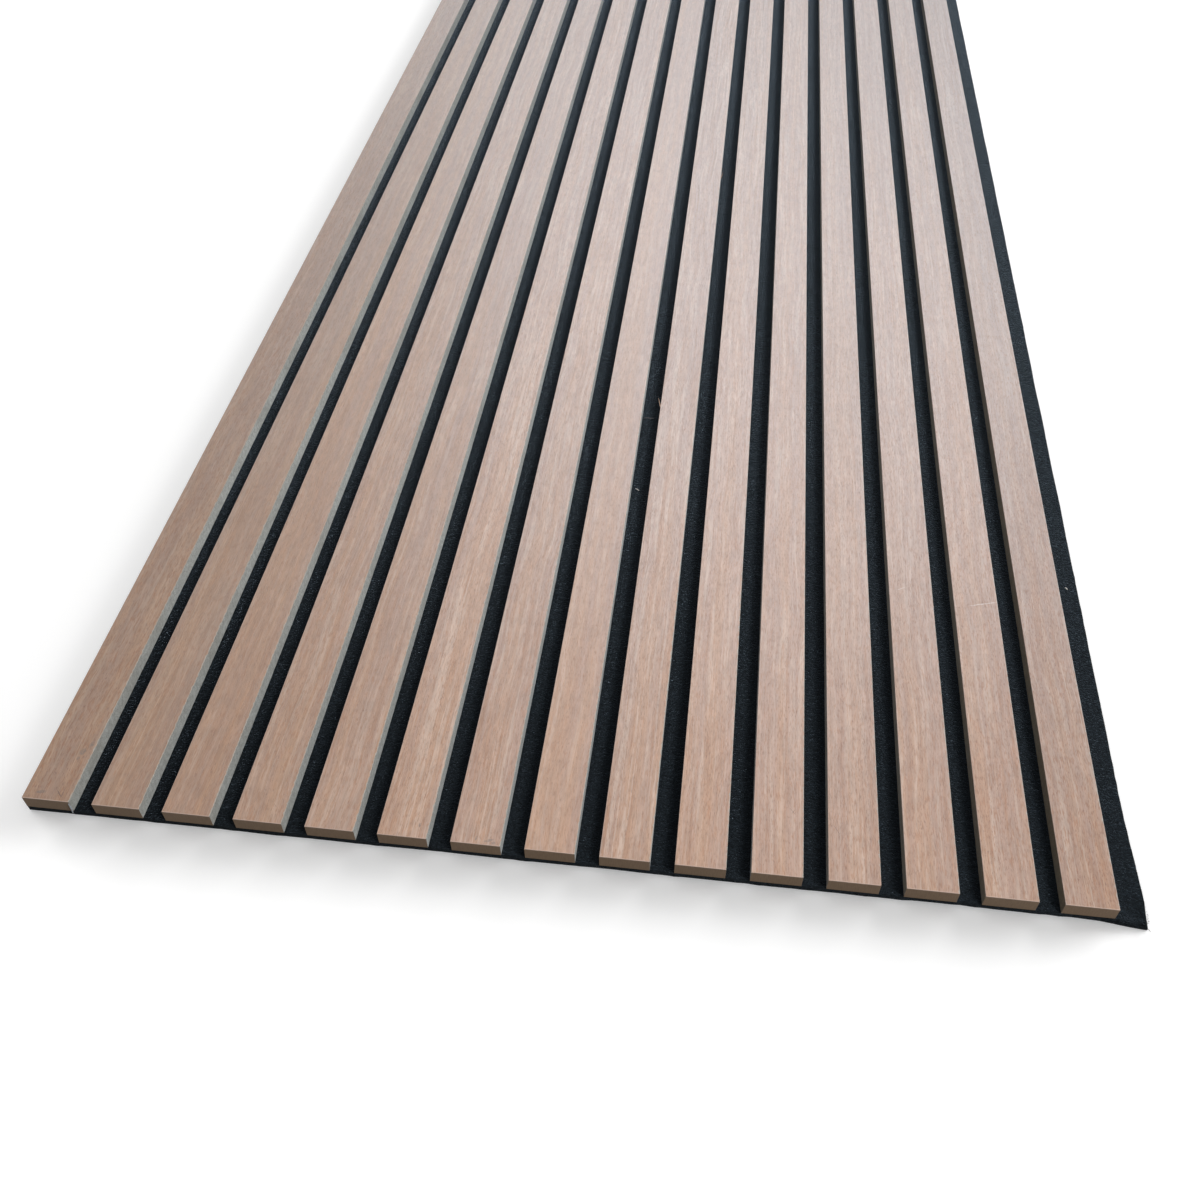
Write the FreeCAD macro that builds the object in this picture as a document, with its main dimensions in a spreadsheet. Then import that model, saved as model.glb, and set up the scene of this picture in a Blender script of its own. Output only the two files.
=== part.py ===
# Acoustic slat wall panel: veneered MDF slats side by side on a soft felt backing, stapled from the back.
# X runs across the slats, Y along them and Z out of the wall. The origin is the middle of the back face.
import FreeCAD, Part
import os
import Sketcher

# Driving dimensions in millimetres, apart from the two counts. Each one can be changed by itself.
DRIVING_SIZES = (
    ("slat_count", 15, "slats side by side"),
    ("slat_width", 27, "width of a slat"),
    ("slat_gap", 13, "bare felt between two slats"),
    ("bare_edge", 15, "bare felt beyond the last slat, where the next panel meets this one"),
    ("panel_length", 2400, "length of the slats and of the felt"),
    ("felt_thickness", 4, "pressed polyester felt"),
    ("core_thickness", 8.5, "MDF core of a slat"),
    ("veneer_thickness", 0.5, "oak veneer glued on the core"),
    ("veneer_arris", 0.2, "long top edges of the veneer, broken with sandpaper"),
    ("staple_count", 6, "staples along one slat"),
    ("staple_end_distance", 80, "from the end of a slat to its first and last staple"),
    ("staple_crown", 12.8, "width of a staple outside its legs"),
    ("staple_leg", 10, "height of a staple from its crown to its tips"),
    ("wire_width", 0.95, "flat wire of a staple, along the slat"),
    ("wire_thickness", 0.7, "flat wire of a staple, through its crown or leg"),
    ("crown_depth", 0.4, "how far a crown is driven in under the felt's back"),
    ("wire_clearance", 0.05, "room round the wire in the felt and in the core"),
)

# Lengths worked out from the driving dimensions, as expressions on the sheet.
PITCH = "(Sizes.slat_width + Sizes.slat_gap)"
PANEL_WIDTH = f"(Sizes.slat_count * {PITCH} - Sizes.slat_gap + Sizes.bare_edge)"
SLAT_RUN = f"((Sizes.slat_count - 1) * {PITCH})"
FIRST_SLAT_X = f"(Sizes.slat_width / 2 - {PANEL_WIDTH} / 2)"
SLAT_TOP = "(Sizes.felt_thickness + Sizes.core_thickness)"
FIRST_STAPLE_Y = "(Sizes.staple_end_distance - Sizes.panel_length / 2)"
STAPLE_RUN = "(Sizes.panel_length - 2 * Sizes.staple_end_distance)"
WIRE_SLOT = "(Sizes.wire_width + 2 * Sizes.wire_clearance)"
CROWN_SLOT = "(Sizes.staple_crown + 2 * Sizes.wire_clearance)"
LEG_SLOT = "(Sizes.wire_thickness + 2 * Sizes.wire_clearance)"
CROWN_SLOT_DEPTH = "(Sizes.crown_depth + Sizes.wire_thickness + Sizes.wire_clearance)"
LEG_TIP_Z = "(Sizes.crown_depth + Sizes.staple_leg + Sizes.wire_clearance)"

doc = FreeCAD.newDocument("slat_panel")
sheet = doc.addObject("Spreadsheet::Sheet", "Sizes")


def fill_sheet():
    """One row for each driving dimension: its name, its value under that name as alias, its meaning."""
    for row, (name, size, meaning) in enumerate(DRIVING_SIZES, start=1):
        sheet.set(f"A{row}", name)
        sheet.set(f"B{row}", str(size))
        sheet.set(f"C{row}", meaning)
        sheet.setAlias(f"B{row}", name)
    doc.recompute()


def size_of(expression):
    """The present value of an expression on the sheet, as a plain number."""
    return float(sheet.evalExpression(expression.replace("Sizes.", "")))


def origin_feature(body, role):
    """One of the planes or axes of a body's own origin."""
    return next(feature for feature in body.Origin.OriginFeatures if feature.Role == role)


def new_body(label, x="0", y="0", z="0"):
    """An empty body whose place is bound to the sheet."""
    body = doc.addObject("PartDesign::Body", label)
    body.Label = label
    for axis, place in zip("xyz", (x, y, z)):
        if place != "0":
            body.setExpression(f"Placement.Base.{axis}", f"{place} * 1 mm")
    return body


def new_sketch(body, name, plane):
    """A sketch on one of the planes of a body's own origin."""
    sketch = body.newObject("Sketcher::SketchObject", name)
    sketch.AttachmentSupport = (origin_feature(body, plane), [""])
    sketch.MapMode = "FlatFace"
    return sketch


def add_rectangle(sketch, name, left, bottom, width, height):
    """A rectangle with its lower left corner placed from the sketch's origin, all from the sheet."""
    x_low = size_of(left)
    y_low = size_of(bottom)
    x_high = x_low + size_of(width)
    y_high = y_low + size_of(height)
    corners = ((x_low, y_low), (x_high, y_low), (x_high, y_high), (x_low, y_high))
    first = sketch.GeometryCount
    for index, (x, y) in enumerate(corners):
        next_x, next_y = corners[(index + 1) % 4]
        start = FreeCAD.Vector(x, y, 0)
        end = FreeCAD.Vector(next_x, next_y, 0)
        sketch.addGeometry(Part.LineSegment(start, end), False)
    for index in range(4):
        following = first + (index + 1) % 4
        sketch.addConstraint(Sketcher.Constraint("Coincident", first + index, 2, following, 1))
    for side, direction in ((0, "Horizontal"), (1, "Vertical"), (2, "Horizontal"), (3, "Vertical")):
        sketch.addConstraint(Sketcher.Constraint(direction, first + side))
    distances = (
        ("left", Sketcher.Constraint("DistanceX", -1, 1, first, 1, x_low), left),
        ("bottom", Sketcher.Constraint("DistanceY", -1, 1, first, 1, y_low), bottom),
        ("width", Sketcher.Constraint("DistanceX", first, 1, first, 2, x_high - x_low), width),
        ("height", Sketcher.Constraint("DistanceY", first + 1, 1, first + 1, 2, y_high - y_low), height),
    )
    for side, constraint, expression in distances:
        index = sketch.addConstraint(constraint)
        sketch.renameConstraint(index, f"{name}_{side}")
        sketch.setExpression(f"Constraints.{name}_{side}", f"{expression} * 1 mm")


def add_pad(body, name, sketch, length):
    """A pad upwards from its sketch."""
    pad = body.newObject("PartDesign::Pad", name)
    pad.Profile = sketch
    pad.setExpression("Length", f"{length} * 1 mm")
    sketch.Visibility = False
    return pad


def add_pocket_upwards(body, name, sketch, depth):
    """A pocket cut upwards into the solid from a sketch on its underside."""
    pocket = body.newObject("PartDesign::Pocket", name)
    pocket.Profile = sketch
    pocket.Reversed = True
    pocket.setExpression("Length", f"{depth} * 1 mm")
    sketch.Visibility = False
    return pocket


def add_row(pattern, axis, count, extent, second=False):
    """One direction of a linear pattern, from its first copy to its last."""
    suffix = "2" if second else ""
    setattr(pattern, "Direction" + suffix, (axis, [""]))
    setattr(pattern, "Mode" + suffix, "Extent")
    pattern.setExpression("Occurrences" + suffix, count)
    pattern.setExpression("Length" + suffix, f"{extent} * 1 mm")


def add_pattern(body, name, originals, across=False):
    """Copies of features at each staple along a slat, and across every slat where asked."""
    pattern = body.newObject("PartDesign::LinearPattern", name)
    pattern.Originals = originals
    add_row(pattern, origin_feature(body, "Y_Axis"), "Sizes.staple_count", STAPLE_RUN)
    if across:
        add_row(pattern, origin_feature(body, "X_Axis"), "Sizes.slat_count", SLAT_RUN, second=True)
    pattern.Refine = False
    body.Tip = pattern
    return pattern


def add_leg_slots(sketch, centre_x, centre_y):
    """The two slots that a staple's legs pass through, mirrored about the staple's middle."""
    bottom = f"({centre_y} - {WIRE_SLOT} / 2)"
    left_leg = f"({centre_x} - {CROWN_SLOT} / 2)"
    right_leg = f"({centre_x} + {CROWN_SLOT} / 2 - {LEG_SLOT})"
    add_rectangle(sketch, "left_leg", left_leg, bottom, LEG_SLOT, WIRE_SLOT)
    add_rectangle(sketch, "right_leg", right_leg, bottom, LEG_SLOT, WIRE_SLOT)


def make_felt_backing():
    """The felt sheet, with a slot in its back for each staple's crown and two through it for the legs."""
    body = new_body("felt_backing")
    outline = new_sketch(body, "felt_outline", "XY_Plane")
    add_rectangle(
        outline,
        "sheet",
        f"(-{PANEL_WIDTH} / 2)",
        "(-Sizes.panel_length / 2)",
        PANEL_WIDTH,
        "Sizes.panel_length",
    )
    add_pad(body, "felt_sheet", outline, "Sizes.felt_thickness")

    crown = new_sketch(body, "felt_crown_outline", "XY_Plane")
    add_rectangle(
        crown,
        "crown",
        f"({FIRST_SLAT_X} - {CROWN_SLOT} / 2)",
        f"({FIRST_STAPLE_Y} - {WIRE_SLOT} / 2)",
        CROWN_SLOT,
        WIRE_SLOT,
    )
    crown_slot = add_pocket_upwards(body, "felt_crown_slot", crown, CROWN_SLOT_DEPTH)

    legs = new_sketch(body, "felt_leg_outline", "XY_Plane")
    add_leg_slots(legs, FIRST_SLAT_X, FIRST_STAPLE_Y)
    leg_slots = add_pocket_upwards(body, "felt_leg_slots", legs, "Sizes.felt_thickness")
    add_pattern(body, "felt_staple_places", [crown_slot, leg_slots], across=True)
    return body


def slat_x(index):
    """The middle of a slat, counted from 0 at the side where the felt is flush with the slat."""
    return f"({FIRST_SLAT_X} + {index} * {PITCH})"


def add_slat_outline(body, name):
    """The sawn strip seen from above, centred on its own body."""
    outline = new_sketch(body, name, "XY_Plane")
    add_rectangle(
        outline,
        "strip",
        "(-Sizes.slat_width / 2)",
        "(-Sizes.panel_length / 2)",
        "Sizes.slat_width",
        "Sizes.panel_length",
    )
    return outline


def make_slat_core(index):
    """One MDF strip, with the slots that its staples' legs made in its underside."""
    label = f"slat_core_{index + 1:02d}"
    body = new_body(label, x=slat_x(index), z="Sizes.felt_thickness")
    outline = add_slat_outline(body, f"{label}_outline")
    add_pad(body, f"{label}_strip", outline, "Sizes.core_thickness")
    legs = new_sketch(body, f"{label}_leg_outline", "XY_Plane")
    add_leg_slots(legs, "0", FIRST_STAPLE_Y)
    depth = f"({LEG_TIP_Z} - Sizes.felt_thickness)"
    leg_slots = add_pocket_upwards(body, f"{label}_leg_slots", legs, depth)
    add_pattern(body, f"{label}_staple_places", [leg_slots])
    return body


def is_long_top_edge(edge, top):
    """True for an edge that runs along the slat at the height of its top face."""
    box = edge.BoundBox
    tolerance = 0.001
    return abs(box.ZMin - top) < tolerance and box.XLength < tolerance and box.YLength > tolerance


def make_slat_veneer(index):
    """One strip of veneer on its core, with its two long top edges broken."""
    label = f"slat_veneer_{index + 1:02d}"
    body = new_body(label, x=slat_x(index), z=SLAT_TOP)
    outline = add_slat_outline(body, f"{label}_outline")
    strip = add_pad(body, f"{label}_strip", outline, "Sizes.veneer_thickness")
    doc.recompute()
    top = size_of("Sizes.veneer_thickness")
    long_edges = [
        f"Edge{number}"
        for number, edge in enumerate(strip.AddSubShape.Edges, start=1)
        if is_long_top_edge(edge, top)
    ]
    arris = body.newObject("PartDesign::Chamfer", f"{label}_arris")
    arris.Base = (strip, long_edges)
    arris.setExpression("Size", "Sizes.veneer_arris * 1 mm")
    body.Tip = arris
    return body


def make_back_staples():
    """Every staple: a bridge of flat wire, crown down, whose legs stand up through the felt into the cores."""
    body = new_body("back_staples", x=FIRST_SLAT_X, y=FIRST_STAPLE_Y, z="Sizes.crown_depth")
    outer = new_sketch(body, "staple_outer_outline", "XZ_Plane")
    add_rectangle(
        outer,
        "outer",
        "(-Sizes.staple_crown / 2)",
        "0",
        "Sizes.staple_crown",
        "Sizes.staple_leg",
    )
    blank = add_pad(body, "staple_blank", outer, "Sizes.wire_width")
    blank.SideType = "Symmetric"

    inner = new_sketch(body, "staple_inner_outline", "XZ_Plane")
    add_rectangle(
        inner,
        "inner",
        "(Sizes.wire_thickness - Sizes.staple_crown / 2)",
        "Sizes.wire_thickness",
        "(Sizes.staple_crown - 2 * Sizes.wire_thickness)",
        "(Sizes.staple_leg - Sizes.wire_thickness)",
    )
    opening = body.newObject("PartDesign::Pocket", "staple_opening")
    opening.Profile = inner
    opening.Type = "ThroughAll"
    opening.SideType = "Symmetric"
    inner.Visibility = False
    add_pattern(body, "staple_places", [blank, opening], across=True)
    return body


def check_document(bodies):
    """Stops if any object failed, or any finished piece is empty, invalid or of the wrong volume."""
    for thing in doc.Objects:
        if "Invalid" in thing.State or "Error" in thing.State:
            raise RuntimeError(f"{thing.Label} failed: {thing.State}")
    for body in bodies:
        if body.Shape.isNull() or not body.Shape.isValid():
            raise RuntimeError(f"{body.Label} has no valid shape")
        print(f"{body.Label}: {len(body.Shape.Solids)} solids, {body.Shape.Volume / 1000:.3f} cm3")


def check_volume(body, solids, expression):
    """Stops if a body's cuts or copies went missing, going by its number of solids and its volume."""
    expected = size_of(expression)
    if len(body.Shape.Solids) != solids or abs(body.Shape.Volume / expected - 1) > 1e-6:
        raise RuntimeError(f"{body.Label} is {body.Shape.Volume:.3f} mm3 and not {expected:.3f} mm3")


def check_cuts(felt, cores, veneers, staples):
    """Compares each kind of piece with the volume that its sizes give."""
    slats = int(size_of("Sizes.slat_count"))
    staple_total = slats * int(size_of("Sizes.staple_count"))
    leg_section = f"{LEG_SLOT} * {WIRE_SLOT}"
    crown_cut = f"({CROWN_SLOT} * {WIRE_SLOT} * {CROWN_SLOT_DEPTH})"
    felt_leg_cut = f"({leg_section} * (Sizes.felt_thickness - {CROWN_SLOT_DEPTH}))"
    felt_sheet = f"{PANEL_WIDTH} * Sizes.panel_length * Sizes.felt_thickness"
    check_volume(felt, 1, f"{felt_sheet} - {staple_total} * ({crown_cut} + 2 * {felt_leg_cut})")
    core_strip = "Sizes.slat_width * Sizes.panel_length * Sizes.core_thickness"
    core_leg_cut = f"({leg_section} * ({LEG_TIP_Z} - Sizes.felt_thickness))"
    for core in cores:
        check_volume(core, 1, f"{core_strip} - Sizes.staple_count * 2 * {core_leg_cut}")
    arris_cut = "Sizes.panel_length * Sizes.veneer_arris * Sizes.veneer_arris"
    for veneer in veneers:
        strip = "Sizes.slat_width * Sizes.panel_length * Sizes.veneer_thickness"
        check_volume(veneer, 1, f"{strip} - {arris_cut}")
    wire_run = "(Sizes.staple_crown + 2 * (Sizes.staple_leg - Sizes.wire_thickness))"
    staple = f"{wire_run} * Sizes.wire_thickness * Sizes.wire_width"
    check_volume(staples, staple_total, f"{staple_total} * {staple}")


fill_sheet()
slat_numbers = range(int(size_of("Sizes.slat_count")))
felt_backing = make_felt_backing()
slat_cores = [make_slat_core(index) for index in slat_numbers]
slat_veneers = [make_slat_veneer(index) for index in slat_numbers]
back_staples = make_back_staples()
doc.recompute()

pieces = [felt_backing, *slat_cores, *slat_veneers, back_staples]
check_document(pieces)
check_cuts(felt_backing, slat_cores, slat_veneers, back_staples)
os.makedirs("parts", exist_ok=True)
for piece in pieces:
    piece.Shape.exportStep(os.path.join("parts", f"{piece.Label}.step"))
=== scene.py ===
# Acoustic slat wall panel: the finish of its veneered slats, its felt backing and its staples.
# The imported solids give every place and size. Lengths are in metres, and patterns in millimetres.
import math
import random

import bmesh
import bpy
from mathutils import Matrix, Vector, noise


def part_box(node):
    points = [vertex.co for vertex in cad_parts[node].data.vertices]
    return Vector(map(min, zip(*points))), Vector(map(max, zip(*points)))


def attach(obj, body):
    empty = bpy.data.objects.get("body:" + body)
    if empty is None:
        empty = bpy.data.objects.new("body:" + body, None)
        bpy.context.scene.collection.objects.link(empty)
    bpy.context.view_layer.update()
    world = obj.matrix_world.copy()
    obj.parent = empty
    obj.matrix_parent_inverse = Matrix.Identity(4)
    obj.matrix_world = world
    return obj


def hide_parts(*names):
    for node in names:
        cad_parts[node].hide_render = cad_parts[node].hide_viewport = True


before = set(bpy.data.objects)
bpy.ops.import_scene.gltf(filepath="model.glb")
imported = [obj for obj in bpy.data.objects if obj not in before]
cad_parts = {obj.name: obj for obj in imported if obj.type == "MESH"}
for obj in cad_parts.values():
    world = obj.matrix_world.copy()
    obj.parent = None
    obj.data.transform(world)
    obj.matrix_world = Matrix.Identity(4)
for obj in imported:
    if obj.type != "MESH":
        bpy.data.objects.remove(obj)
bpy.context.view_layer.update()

MM = 0.001
SEED = 20

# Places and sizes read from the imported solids.
FELT_LOW, FELT_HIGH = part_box("felt_backing")
FIRST_LOW, FIRST_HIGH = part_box("slat_core_01")
SECOND_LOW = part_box("slat_core_02")[0]
STAPLES_LOW, STAPLES_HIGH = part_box("back_staples")
CORE_NAMES = sorted(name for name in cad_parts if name.startswith("slat_core"))
PITCH = SECOND_LOW.x - FIRST_LOW.x
SLAT_WIDTH = FIRST_HIGH.x - FIRST_LOW.x
GAP = PITCH - SLAT_WIDTH
FRONT = FELT_LOW.y
SLAT_LEFTS = [FIRST_LOW.x + number * PITCH for number in range(len(CORE_NAMES))]

# The staples stand in rows across the panel, one on the middle line of each slat. Their wire is flat.
STAPLE_ROWS = 6
WIRE_THICKNESS = 0.7 * MM
WIRE_WIDTH = 0.95 * MM
CROWN_HALF_WIDTH = (STAPLES_HIGH.x - STAPLES_LOW.x - (len(CORE_NAMES) - 1) * PITCH) / 2
CROWN_TOP = STAPLES_LOW.z + WIRE_THICKNESS

# The pit that a staple presses in the felt's back: how far its floor and its rim reach past the crown's ends
# and to each side of its middle line, and how far its floor clears the crown.
PIT_FLOOR = 0.7 * MM
PIT_RIM = 2.2 * MM
PIT_CLEARANCE = 0.05 * MM

# The felt's mesh: where each stretch of rows ends and how far apart its rows are, then the rows behind them,
# and how far in from the bare edge the last columns stand.
FELT_ROW_STEPS = ((0.09, 0.003), (0.3, 0.006))
FELT_LAST_STEP = 0.0125
FELT_EDGE_COLUMNS = (0.0015, 0.003, 0.006)

# How far the knife wandered along each cut edge of the felt, and how near an edge a point counts as on it.
RIGHT_EDGE_WAVE = 0.5 * MM
LEFT_EDGE_WAVE = 0.15 * MM
FRONT_EDGE_WAVE = 0.5 * MM
BACK_EDGE_WAVE = 0.4 * MM
FRONT_EDGE_INSET = 0.4 * MM
ON_EDGE = 0.0001

# The felt's loose front corner: how far it flares sideways, is pulled ahead and is pressed down, and where
# each of these fades out.
CORNER_FLARE = 1.9 * MM
CORNER_FLARE_LENGTH = 0.070
CORNER_PULL = 3.0 * MM
CORNER_PULL_START = 0.030
CORNER_PULL_END = 0.006
CORNER_CRUSH = 2.6 * MM
CORNER_CRUSH_REACH = 0.014

# How far the felt's top sags between two slats, and how much that varies, in millimetres.
GAP_SAG = 0.28
GAP_SAG_WAVE = 0.16

# The felt's loose fibres: how many stand on its right and front edges and lie on its top, and how thick.
RIGHT_EDGE_HAIRS = 3600
FRONT_EDGE_HAIRS = 300
TOP_HAIRS = 8000
EDGE_HAIR_THICKNESS = 0.06 * MM
TOP_HAIR_THICKNESS = 0.05 * MM

# Stray bits as points, given as slat number, millimetres in from that slat's left side, millimetres from the
# front end, and millimetres over the felt's top.
LINT_LONG = ((8, 28.0, 377.0, 0.1), (8, 30.5, 377.8, 0.4), (8, 33.5, 377.0, 0.1), (8, 36.0, 378.2, 0.1))
LINT_SHORT = ((8, 29.8, 298.8, 0.1), (8, 30.9, 297.8, 0.6), (8, 32.4, 296.8, 0.1))
LINT_DOT = ((15, 34.6, 235.4, 0.1), (15, 35.2, 234.6, 0.6), (15, 35.9, 233.8, 0.1))
GLUE_STRING = ((1, 26.6, -0.2, 7.5), (1, 27.0, -0.5, 5.0), (1, 27.1, -0.6, 2.0), (1, 26.6, -0.8, -1.0))
SPLINTER_LEFT = ((9, 0.3, 380.0, 8.7), (9, -2.2, 391.0, 8.9))
SPLINTER_RIGHT = ((9, 26.8, 726.0, 8.7), (9, 28.9, 738.0, 8.4))
SPLINTER_THICKNESS = 0.25 * MM

# The floor: how much light it throws back, how white the camera sees it, and its own faint glow, which rises
# far from the panel so that the floor ends in plain white.
FLOOR_SIZE = 24.0
FLOOR_DROP = 0.15 * MM
FLOOR_BOUNCE = 0.2
FLOOR_WHITE = 0.92
FLOOR_GLOW = 0.20
FLOOR_FAR_GLOW = 0.9
FLOOR_GLOW_TINT = (0.97, 1.0, 1.03, 1)
GLOW_STRETCH = (2.0, 0.7, 0.0)
GLOW_RISE_START = 1.3
GLOW_RISE_END = 3.0

# The low even fill from all round.
WORLD_FILL = 0.16
WORLD_TINT = (1.0, 0.95, 0.90, 1)

# The lamps that light the panel alone and those that light the floor alone, as name, place, aim, width,
# height, watts and colour.
PLAIN = (1.0, 1.0, 1.0)
PANEL_LAMPS = (
    ("right_light", (1.05, -1.75, 1.45), (0.0, -1.0, 0.0), 0.6, 0.6, 25.0, (1.0, 1.0, 0.98)),
    ("back_window", (0.6, 5.0, 4.3), (0.0, -0.8, 0.0), 5.0, 3.8, 225.0, (0.92, 1.0, 1.10)),
)
FLOOR_LAMPS = (
    ("floor_light_left", (-4.6, 1.2, 0.85), (0.0, -1.0, 0.0), 3.0, 0.45, 270.0, PLAIN),
    ("floor_light_right", (4.6, 1.2, 0.85), (0.0, -1.0, 0.0), 3.0, 0.45, 270.0, PLAIN),
    ("floor_light_behind", (3.1, 1.4, 1.6), (0.0, -1.2, 0.0), 3.2, 1.4, 128.0, PLAIN),
    ("floor_light_above", (0.0, -1.2, 2.2), (0.0, -1.2, 0.0), 4.0, 4.0, 34.0, PLAIN),
)

# The camera of the photograph, worked out from the edges of the slats.
CAMERA_PLACE = Vector((0.0615, -1.5239, 0.5686))
CAMERA_HEADING = 7.19
CAMERA_PITCH = 47.43
CAMERA_ROLL = -0.48
CAMERA_LENS = 35.85
SENSOR_WIDTH = 36.0
CAMERA_NEAR = 0.01
CAMERA_FAR = 100.0

# A reach in millimetres far past the panel's own thickness.
DEEP = 10000.0


def linear(red, green, blue):
    """A colour given from 0 to 255, as on a screen, in the linear values that a shader takes."""
    def channel(value):
        share = value / 255
        return share / 12.92 if share <= 0.04045 else ((share + 0.055) / 1.055) ** 2.4
    return (channel(red), channel(green), channel(blue), 1.0)


class Finish:
    """A material's node tree, with one short call for each kind of node that the finishes use."""

    def __init__(self, name):
        self.material = bpy.data.materials.new(name)
        self.material.use_nodes = True
        self.tree = self.material.node_tree
        self.surface = self.tree.nodes["Principled BSDF"]
        coordinates = self.tree.nodes.new("ShaderNodeTexCoord")
        scale = self.tree.nodes.new("ShaderNodeVectorMath")
        scale.operation = "SCALE"
        scale.inputs["Scale"].default_value = 1 / MM
        self.tree.links.new(coordinates.outputs["Object"], scale.inputs[0])
        split = self.tree.nodes.new("ShaderNodeSeparateXYZ")
        self.tree.links.new(scale.outputs[0], split.inputs[0])
        self.place = scale.outputs[0]
        self.across, self.along, self.up = split.outputs
        self.grain = self.across

    def plug(self, socket, value):
        """Links an output to a socket, or writes a plain value on it."""
        if isinstance(value, bpy.types.NodeSocket):
            self.tree.links.new(value, socket)
        else:
            socket.default_value = value

    def math(self, operation, first, second=0.0):
        node = self.tree.nodes.new("ShaderNodeMath")
        node.operation = operation
        self.plug(node.inputs[0], first)
        self.plug(node.inputs[1], second)
        return node.outputs[0]

    def add(self, first, second):
        return self.math("ADD", first, second)

    def times(self, first, second):
        return self.math("MULTIPLY", first, second)

    def vector(self, x, y, z):
        node = self.tree.nodes.new("ShaderNodeCombineXYZ")
        for socket, value in zip(node.inputs, (x, y, z)):
            self.plug(socket, value)
        return node.outputs[0]

    def scaled(self, across, along, up=1.0):
        """The place on the panel, with its own scale each way."""
        scales = zip((self.across, self.along, self.up), (across, along, up))
        return self.vector(*(self.times(place, scale) for place, scale in scales))

    def slats_across(self):
        """How many slat pitches a point lies from the first slat's left side."""
        return self.times(self.add(self.across, -SLAT_LEFTS[0] / MM), MM / PITCH)

    def inside_slat(self):
        """How many millimetres a point lies in from its own slat's left side."""
        return self.times(self.math("FRACT", self.slats_across()), PITCH / MM)

    def noise(self, vector, scale=1.0, detail=2.0, roughness=0.5, distortion=0.0):
        node = self.tree.nodes.new("ShaderNodeTexNoise")
        self.plug(node.inputs["Vector"], vector)
        node.inputs["Scale"].default_value = scale
        node.inputs["Detail"].default_value = detail
        node.inputs["Roughness"].default_value = roughness
        node.inputs["Distortion"].default_value = distortion
        return node.outputs[0]

    def layer(self, across, along, seed, detail=2.0, roughness=0.5, distortion=0.0):
        """Noise with its own scale across and along the grain, from one slice of it."""
        place = self.vector(self.times(self.grain, across), self.times(self.along, along), seed)
        return self.noise(place, detail=detail, roughness=roughness, distortion=distortion)

    def ramp(self, value, low, high, to_low=0.0, to_high=1.0):
        """Turns low..high of a value into to_low..to_high, with soft ends."""
        node = self.tree.nodes.new("ShaderNodeMapRange")
        node.interpolation_type = "SMOOTHSTEP"
        node.inputs["From Min"].default_value = low
        node.inputs["From Max"].default_value = high
        node.inputs["To Min"].default_value = to_low
        node.inputs["To Max"].default_value = to_high
        self.plug(node.inputs["Value"], value)
        return node.outputs[0]

    def ridge(self, pattern, wide, narrow):
        """1 on the lines where a noise crosses its middle value, and 0 away from them."""
        return self.ramp(self.math("ABSOLUTE", self.add(pattern, -0.5)), wide, narrow)

    def mix(self, share, first, second, blend="MIX"):
        node = self.tree.nodes.new("ShaderNodeMix")
        node.data_type = "RGBA"
        node.blend_type = blend
        self.plug(node.inputs["Factor"], share)
        self.plug(node.inputs[6], first)
        self.plug(node.inputs[7], second)
        return node.outputs[2]

    def shaded(self, colour, shade):
        """A colour made paler or darker by one factor."""
        return self.mix(1.0, colour, self.vector(shade, shade, shade), "MULTIPLY")

    def steps(self, number, values):
        """The value that belongs to a whole number, counted from 0."""
        node = self.tree.nodes.new("ShaderNodeValToRGB")
        ramp = node.color_ramp
        ramp.interpolation = "CONSTANT"
        for index, value in enumerate(values):
            place = max(0.0, (index - 0.5) / len(values))
            stop = ramp.elements[0] if index == 0 else ramp.elements.new(place)
            stop.position = place
            stop.color = (value, value, value, 1.0)
        ramp.elements.remove(ramp.elements[-1])
        self.plug(node.inputs["Fac"], self.times(number, 1 / len(values)))
        return node.outputs["Color"]

    def coat(self, colour, roughness):
        """The surface's colour and roughness, each a pattern or a plain value."""
        self.plug(self.surface.inputs["Base Color"], colour)
        self.plug(self.surface.inputs["Roughness"], roughness)

    def haze(self, weight, roughness, tint):
        """The pale sheen that a fibrous surface has at a low angle, as plain values."""
        self.surface.inputs["Sheen Weight"].default_value = weight
        self.surface.inputs["Sheen Roughness"].default_value = roughness
        self.surface.inputs["Sheen Tint"].default_value = tint

    def bump(self, height, depth, strength):
        """Relief on the surface, as deep as depth millimetres where the height goes from 0 to 1."""
        node = self.tree.nodes.new("ShaderNodeBump")
        node.inputs["Distance"].default_value = depth * MM
        node.inputs["Strength"].default_value = strength
        self.plug(node.inputs["Height"], height)
        self.tree.links.new(node.outputs[0], self.surface.inputs["Normal"])

    def mark(self, x, y, half_across, half_along, turn):
        """How far off a spot's middle a point lies: 1 at the spot's rim. A thin long spot is a scratch."""
        spot = self.tree.nodes.new("ShaderNodeMapping")
        spot.vector_type = "TEXTURE"
        spot.inputs["Location"].default_value = (x, y, 0.0)
        spot.inputs["Rotation"].default_value = (0.0, 0.0, math.radians(turn))
        spot.inputs["Scale"].default_value = (half_across, half_along, DEEP)
        self.tree.links.new(self.place, spot.inputs["Vector"])
        reach = self.tree.nodes.new("ShaderNodeVectorMath")
        reach.operation = "LENGTH"
        self.tree.links.new(spot.outputs[0], reach.inputs[0])
        return reach.outputs["Value"]


# How pale each slat's veneer is beside the others, from the left: partly each slat's own tone, and partly
# painted shade that darkens the outer slats, where the light falls off.
SLAT_TONES_AND_SHADE = (0.74, 0.82, 0.90, 0.92, 0.95, 0.97, 0.97, 0.97, 0.97, 0.96, 0.94, 0.91, 0.87, 0.85, 0.77)

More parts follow.
